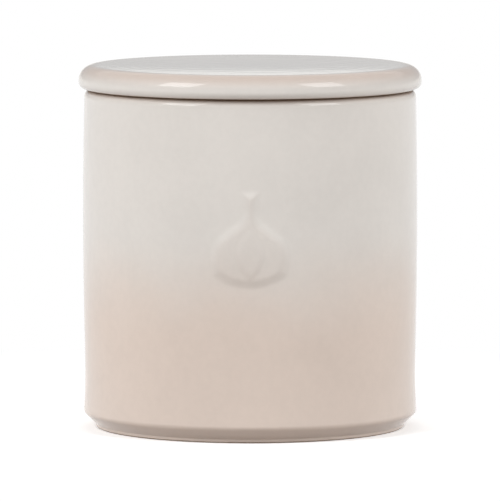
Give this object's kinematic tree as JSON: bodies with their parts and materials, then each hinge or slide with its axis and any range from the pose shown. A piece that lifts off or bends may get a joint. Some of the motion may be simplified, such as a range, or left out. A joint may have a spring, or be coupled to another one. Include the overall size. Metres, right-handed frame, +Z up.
{
  "type": "garlic keeper",
  "caption": "Cylindrical glazed stoneware jar on a low foot ring, with a raised garlic bulb on its front, air holes high in its back wall and a flat overhanging lift-off lid.",
  "frame": {"origin": "middle of the foot ring's resting face, on the crock's axis", "axes": "+Z up along the axis; the raised bulb faces -Y, the air holes face +Y, +X is to the right seen from the front"},
  "size_m": [0.1108, 0.1108, 0.117],
  "materials": {
    "crock_glaze": "gloss",
    "lid_glaze": "gloss"
  },
  "bodies": {
    "crock": {"crock": "crock_glaze"},
    "lid": {"lid": "lid_glaze"}
  },
  "joints": [
    {"name": "lid_lift", "type": "slide", "parent": "crock", "child": "lid", "axis": [0, 0, 1], "range_m": [0, 0.125]}
  ]
}
